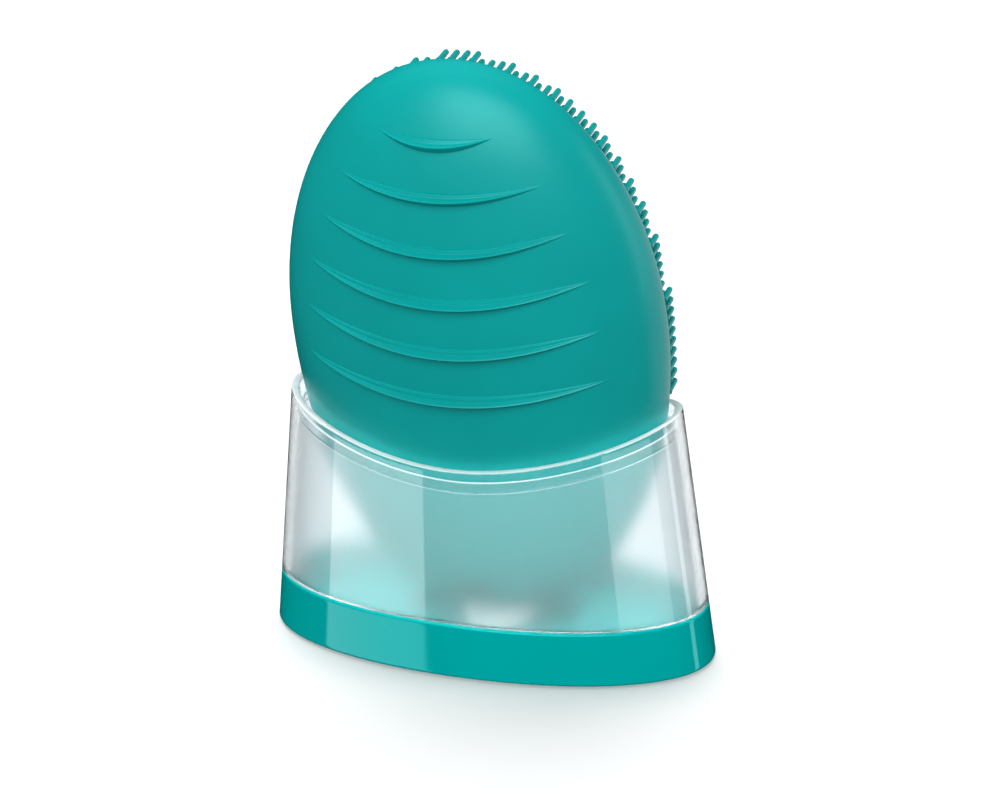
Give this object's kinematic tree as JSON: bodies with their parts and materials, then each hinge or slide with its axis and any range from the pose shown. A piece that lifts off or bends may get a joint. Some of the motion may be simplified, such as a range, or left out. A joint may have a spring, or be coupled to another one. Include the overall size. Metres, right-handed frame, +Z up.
{
  "type": "facial cleansing brush",
  "caption": "Egg-shaped vibrating silicone face brush with grip ridges on one face and soft bristles on the other, leaning in an oval translucent stand on a coloured base.",
  "frame": {"origin": "centre of the stand's underside, on the surface that the stand rests on", "axes": "+Z up; the ridged face of the brush looks towards -Y and its bristles towards +Y; X runs across the brush, along the stand's longer side"},
  "size_m": [0.0874, 0.0399, 0.1158],
  "materials": {
    "silicone": "matte moulded silicone, teal",
    "button_silicone": "matte moulded silicone, slightly darker teal",
    "stand_translucent": "clear glossy moulded plastic",
    "stand_frosted": "frosted milky plastic",
    "stand_base": "glossy moulded plastic, teal",
    "grey_rubber": "matte rubber",
    "white_silicone": "matte moulded silicone, white",
    "white_casing": "fine textured moulded plastic, off-white",
    "black_rubber": "matte rubber",
    "board_green": "solder-masked board",
    "clear_plastic": "clear moulded plastic",
    "battery_foil": "satin laminated foil",
    "black_foam": "open-cell foam",
    "black_plastic": "satin moulded plastic",
    "steel": "drawn and plated steel",
    "brass_weight": "machined brass",
    "wire_red": "smooth cable insulation",
    "wire_black": "smooth cable insulation"
  },
  "bodies": {
    "stand": {"base_tray": "stand_base", "base_plate": "stand_base", "stand_shell": "stand_translucent", "cradle_liner": "stand_frosted", "floor_pad": "grey_rubber", "rest_pad": "white_silicone"},
    "brush": {"ridge_skin": "silicone", "bristle_skin": "silicone", "bristle_field": "silicone", "rear_casing": "white_casing", "front_casing": "white_casing", "motor_bracket": "white_casing", "casing_gasket": "black_rubber", "motor_sleeve": "black_rubber", "circuit_board": "board_green", "status_light": "clear_plastic", "light_guide": "clear_plastic", "battery_cell": "battery_foil", "battery_pad": "black_foam", "charging_socket": "black_plastic", "power_switch": "black_plastic", "plus_switch": "black_plastic", "minus_switch": "black_plastic", "motor_can": "steel", "casing_screw_1": "steel", "casing_screw_2": "steel", "casing_screw_3": "steel", "casing_screw_4": "steel", "battery_lead_red": "wire_red", "battery_lead_black": "wire_black", "motor_lead_red": "wire_red", "motor_lead_black": "wire_black"},
    "power_key": {"power_button": "button_silicone"},
    "plus_key": {"plus_button": "button_silicone"},
    "minus_key": {"minus_button": "button_silicone"},
    "plug": {"port_plug": "button_silicone"},
    "rotor": {"motor_shaft": "steel", "eccentric_weight": "brass_weight"}
  },
  "joints": [
    {"name": "brush_lift", "type": "slide", "parent": "stand", "child": "brush", "axis": [0, -0.1504, 0.9886], "range_m": [0, 0.12]},
    {"name": "power_press", "type": "slide", "parent": "brush", "child": "power_key", "axis": [0, -0.9886, -0.1504], "range_m": [0, 0.0008], "stiffness_N_per_m": 2500},
    {"name": "plus_press", "type": "slide", "parent": "brush", "child": "plus_key", "axis": [0, -0.9886, -0.1504], "range_m": [0, 0.0008], "stiffness_N_per_m": 2500},
    {"name": "minus_press", "type": "slide", "parent": "brush", "child": "minus_key", "axis": [0, -0.9886, -0.1504], "range_m": [0, 0.0008], "stiffness_N_per_m": 2500},
    {"name": "plug_pull", "type": "slide", "parent": "brush", "child": "plug", "axis": [0, -0.8324, -0.5541], "range_m": [0, 0.0034]},
    {"name": "motor_spin", "type": "hinge", "parent": "brush", "child": "rotor", "pos_m": [-0.0003, -0.00726, 0.08816], "axis": [1, 0, 0], "continuous": true}
  ]
}
